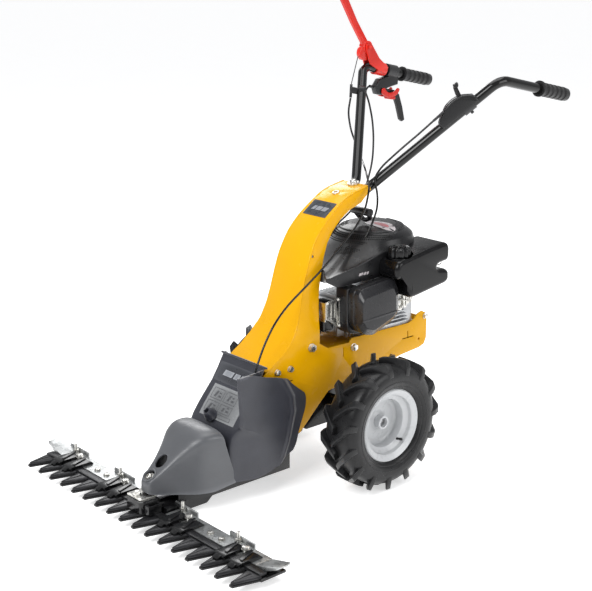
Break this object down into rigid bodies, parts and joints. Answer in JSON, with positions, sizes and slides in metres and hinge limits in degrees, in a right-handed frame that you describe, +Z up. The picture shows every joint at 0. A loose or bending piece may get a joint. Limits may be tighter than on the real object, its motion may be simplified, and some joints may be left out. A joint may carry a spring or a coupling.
{
  "type": "brush mower",
  "caption": "Walk-behind sickle-bar brush mower: toothed cutter bar, gooseneck frame, top-mounted engine, two lugged wheels and a handlebar with hand levers.",
  "frame": {"origin": "on the ground below the middle of the machine's length and width", "axes": "+Z up, +Y towards the operator at the handlebar (the cutter bar points along -Y), +X to the machine's left hand side as the operator sees it from behind facing forward"},
  "size_m": [0.916, 1.2539, 1.186],
  "materials": {
    "yellow_paint": "gloss",
    "grey_plastic": "satin, moulded",
    "pale_grey_plastic": "satin, moulded",
    "zinc_plate": "zinc plated, satin",
    "black_steel": "semi-gloss black",
    "knife_steel": "blued, ground edges",
    "bronze": "machined",
    "rim_paint": "gloss light grey",
    "tyre_rubber": "new, glossy",
    "black_rubber": "matt",
    "cowl_plastic": "fine texture",
    "tank_plastic": "glossy black",
    "filter_plastic": "satin dark grey",
    "cast_aluminium": "as cast",
    "red_plastic": "gloss red",
    "control_plastic": "satin black"
  },
  "bodies": {
    "chassis": {"air_filter_base": "cowl_plastic", "air_filter_cover": "filter_plastic", "backing_plates": "zinc_plate", "bar_carrier": "black_steel", "bar_fasteners": "zinc_plate", "bar_skids": "zinc_plate", "bearings": "bronze", "belts": "black_rubber", "blower_housing": "cowl_plastic", "cable_stop": "control_plastic", "carburettor": "cast_aluminium", "chassis_bolts": "zinc_plate", "crank_case": "black_steel", "cutter_cable": "black_rubber", "cutter_lever_bracket": "red_plastic", "engine_block": "cast_aluminium", "finger_bar": "black_steel", "front_shield": "grey_plastic", "fuel_tank": "tank_plastic", "gearbox_housing": "black_steel", "grips": "black_rubber", "handle_tube_left": "black_steel", "handle_tube_right": "black_steel", "heat_shield": "zinc_plate", "hold_down_clips": "black_steel", "main_frame": "yellow_paint", "muffler": "black_steel", "nose_cover": "pale_grey_plastic", "rocker_pivot": "knife_steel", "throttle_cable": "black_rubber", "throttle_housing": "control_plastic", "traction_cable": "black_rubber", "traction_lever_housing": "control_plastic", "under_rails": "black_steel"},
    "knife_body": {"knife": "knife_steel", "knife_head": "zinc_plate", "knife_head_clamp": "zinc_plate"},
    "rocker": {"rocker_arm": "knife_steel"},
    "crank": {"cutter_crank": "knife_steel", "cutter_pulley": "knife_steel"},
    "wheels": {"axle": "knife_steel", "worm_wheel": "bronze", "rim_left": "rim_paint", "rim_right": "rim_paint", "tyre_left": "tyre_rubber", "tyre_right": "tyre_rubber", "wheel_pins": "zinc_plate"},
    "worm": {"worm_shaft": "knife_steel", "traction_pulley": "knife_steel"},
    "engine_shaft": {"crankshaft": "knife_steel", "engine_pulleys": "knife_steel"},
    "traction_tensioner": {"traction_idler": "black_steel"},
    "cutter_tensioner": {"cutter_idler": "black_steel"},
    "starter_pull": {"starter_handle": "cowl_plastic"},
    "tank_cap": {"fuel_cap": "tank_plastic"},
    "oil_cap": {"dipstick": "cowl_plastic"},
    "throttle": {"throttle_lever": "control_plastic"},
    "cutter_hand_lever": {"cutter_lever": "red_plastic"},
    "traction_hand_lever": {"traction_lever": "red_plastic"},
    "latch": {"lever_latch": "red_plastic"}
  },
  "joints": [
    {"name": "knife_slide", "type": "slide", "parent": "chassis", "child": "knife_body", "axis": [1, 0, 0], "range_m": [-0.0254, 0.0254]},
    {"name": "rocker_swing", "type": "hinge", "parent": "chassis", "child": "rocker", "pos_m": [0, -0.3849, 0.05], "axis": [0, 0, 1], "range_deg": [-8.6, 8.6]},
    {"name": "crank_spin", "type": "hinge", "parent": "chassis", "child": "crank", "pos_m": [0, -0.2124, 0.15], "axis": [0, 0, 1], "continuous": true},
    {"name": "axle_spin", "type": "hinge", "parent": "chassis", "child": "wheels", "pos_m": [0, -0.0074, 0.165], "axis": [1, 0, 0], "continuous": true},
    {"name": "worm_spin", "type": "hinge", "parent": "chassis", "child": "worm", "pos_m": [0, -0.0624, 0.165], "axis": [0, 0, 1], "continuous": true},
    {"name": "engine_spin", "type": "hinge", "parent": "chassis", "child": "engine_shaft", "pos_m": [0, 0.1826, 0.3], "axis": [0, 0, 1], "continuous": true},
    {"name": "traction_tensioner_swing", "type": "hinge", "parent": "chassis", "child": "traction_tensioner", "pos_m": [-0.058, 0.1226, 0.275], "axis": [0, 0, 1], "range_deg": [0, 3.5]},
    {"name": "cutter_tensioner_swing", "type": "hinge", "parent": "chassis", "child": "cutter_tensioner", "pos_m": [0.058, 0.0826, 0.3], "axis": [0, 0, -1], "range_deg": [0, 4.5]},
    {"name": "starter_pull_slide", "type": "slide", "parent": "chassis", "child": "starter_pull", "axis": [0, 0.9402, 0.3407], "range_m": [0, 0.6]},
    {"name": "tank_cap_turn", "type": "hinge", "parent": "chassis", "child": "tank_cap", "pos_m": [0.1345, 0.1336, 0.56], "axis": [0, 0, 1], "range_deg": [0, 90]},
    {"name": "oil_cap_turn", "type": "hinge", "parent": "chassis", "child": "oil_cap", "pos_m": [0.076, 0.0046, 0.381], "axis": [0.7517, -0.451, 0.4811], "range_deg": [0, 90]},
    {"name": "throttle_lever_swing", "type": "hinge", "parent": "chassis", "child": "throttle", "pos_m": [0.17511, 0.29617, 0.91364], "axis": [-0.7309, 0.6824, 0], "range_deg": [-28, 28]},
    {"name": "cutter_lever_swing", "type": "hinge", "parent": "chassis", "child": "cutter_hand_lever", "pos_m": [-0.236, 0.3706, 1.014], "axis": [-1, 0, 0], "range_deg": [0, 95]},
    {"name": "traction_lever_swing", "type": "hinge", "parent": "chassis", "child": "traction_hand_lever", "pos_m": [-0.24, 0.4336, 0.893], "axis": [1, 0, 0], "range_deg": [0, 34], "stiffness_Nm_per_rad": 2, "springref_deg": -8.59},
    {"name": "latch_swing", "type": "hinge", "parent": "chassis", "child": "latch", "pos_m": [-0.24, 0.4336, 0.893], "axis": [-1, 0, 0], "range_deg": [0, 20]}
  ],
  "couplings": [
    {"joint": "rocker_swing", "follows": "knife_slide", "rad_per_m": 5.7971},
    {"joint": "worm_spin", "follows": "axle_spin", "ratio": 30},
    {"joint": "cutter_tensioner_swing", "follows": "cutter_lever_swing", "ratio": 0.04526},
    {"joint": "traction_tensioner_swing", "follows": "traction_lever_swing", "ratio": 0.09706}
  ]
}
